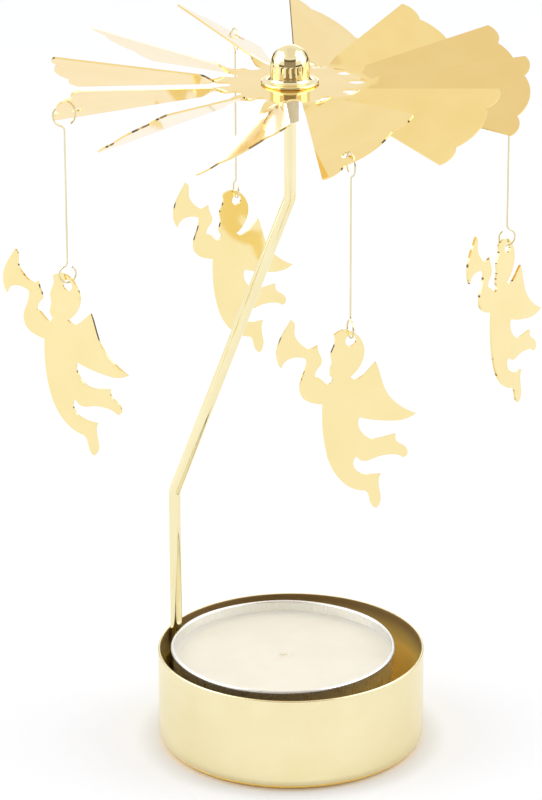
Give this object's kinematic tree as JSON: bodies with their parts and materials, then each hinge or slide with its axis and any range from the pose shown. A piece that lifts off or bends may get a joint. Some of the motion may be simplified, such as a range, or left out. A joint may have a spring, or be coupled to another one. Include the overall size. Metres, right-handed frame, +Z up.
{
  "type": "angel chime carousel",
  "caption": "Tealight carousel: a gold cup with a bent post, a fan wheel of twisted scalloped blades that spins on a needle over the flame, and hanging trumpet angels.",
  "frame": {"origin": "centre of the underside of the base cup, at the foot of the spin axis", "axes": "+Z up along the spin axis, +X to the right and +Y away from the viewer of the picture"},
  "size_m": [0.0887, 0.0817, 0.1208],
  "materials": {
    "pale_gold_plate": "pale gold-tone plating, satin, on pressed steel",
    "bright_gold_plate": "bright gold-tone plating on stamped sheet",
    "polished_brass": "polished to a mirror",
    "dull_brass": "as turned, slightly tarnished",
    "hanger_wire": "drawn and bright",
    "needle_steel": "ground",
    "candle_foil": "bright drawn foil",
    "candle_wax": "paraffin wax, off-white and slightly translucent",
    "wick_cotton": "waxed braided cotton",
    "tinplate": "tinned"
  },
  "bodies": {
    "stand": {"base_cup": "pale_gold_plate", "post_socket": "pale_gold_plate", "post": "pale_gold_plate", "post_collar": "dull_brass", "pivot_needle": "needle_steel"},
    "rotor": {"fan_wheel": "bright_gold_plate", "hub_cap": "polished_brass", "hub_washer": "polished_brass", "pivot_cup": "dull_brass"},
    "tealight": {"tealight_cup": "candle_foil", "wax": "candle_wax", "wick": "wick_cotton", "wick_sustainer": "tinplate"},
    "right_hanger": {"hanger_right": "hanger_wire"},
    "right_angel": {"angel_right": "bright_gold_plate"},
    "back_hanger": {"hanger_back": "hanger_wire"},
    "back_angel": {"angel_back": "bright_gold_plate"},
    "left_hanger": {"hanger_left": "hanger_wire"},
    "left_angel": {"angel_left": "bright_gold_plate"},
    "front_hanger": {"hanger_front": "hanger_wire"},
    "front_angel": {"angel_front": "bright_gold_plate"}
  },
  "joints": [
    {"name": "rotor_spin", "type": "hinge", "parent": "stand", "child": "rotor", "pos_m": [0, 0, 0.1144], "axis": [0, 0, 1], "continuous": true},
    {"name": "tealight_lift", "type": "slide", "parent": "stand", "child": "tealight", "axis": [0, 0, 1], "range_m": [0, 0.022]},
    {"name": "right_hanger_swing", "type": "hinge", "parent": "rotor", "child": "right_hanger", "pos_m": [0.03566, 0.00904, 0.11199], "axis": [0.3173, -0.9483, 0], "range_deg": [-12, 35]},
    {"name": "right_angel_turn", "type": "hinge", "parent": "right_hanger", "child": "right_angel", "pos_m": [0.03566, 0.00904, 0.08552], "axis": [0, 0, 1], "range_deg": [-2.5, 100]},
    {"name": "back_hanger_swing", "type": "hinge", "parent": "rotor", "child": "back_hanger", "pos_m": [-0.00904, 0.03566, 0.11199], "axis": [0.9483, 0.3173, 0], "range_deg": [-12, 35]},
    {"name": "back_angel_turn", "type": "hinge", "parent": "back_hanger", "child": "back_angel", "pos_m": [-0.00904, 0.03566, 0.08552], "axis": [0, 0, 1], "range_deg": [-57.5, 37.5]},
    {"name": "left_hanger_swing", "type": "hinge", "parent": "rotor", "child": "left_hanger", "pos_m": [-0.03566, -0.00904, 0.11199], "axis": [-0.3173, 0.9483, 0], "range_deg": [-12, 35]},
    {"name": "left_angel_turn", "type": "hinge", "parent": "left_hanger", "child": "left_angel", "pos_m": [-0.03566, -0.00904, 0.08552], "axis": [0, 0, 1], "range_deg": [-92.5, 7.5]},
    {"name": "front_hanger_swing", "type": "hinge", "parent": "rotor", "child": "front_hanger", "pos_m": [0.00904, -0.03566, 0.11199], "axis": [-0.9483, -0.3173, 0], "range_deg": [-12, 35]},
    {"name": "front_angel_turn", "type": "hinge", "parent": "front_hanger", "child": "front_angel", "pos_m": [0.00904, -0.03566, 0.08552], "axis": [0, 0, 1], "range_deg": [-50, 45]}
  ]
}
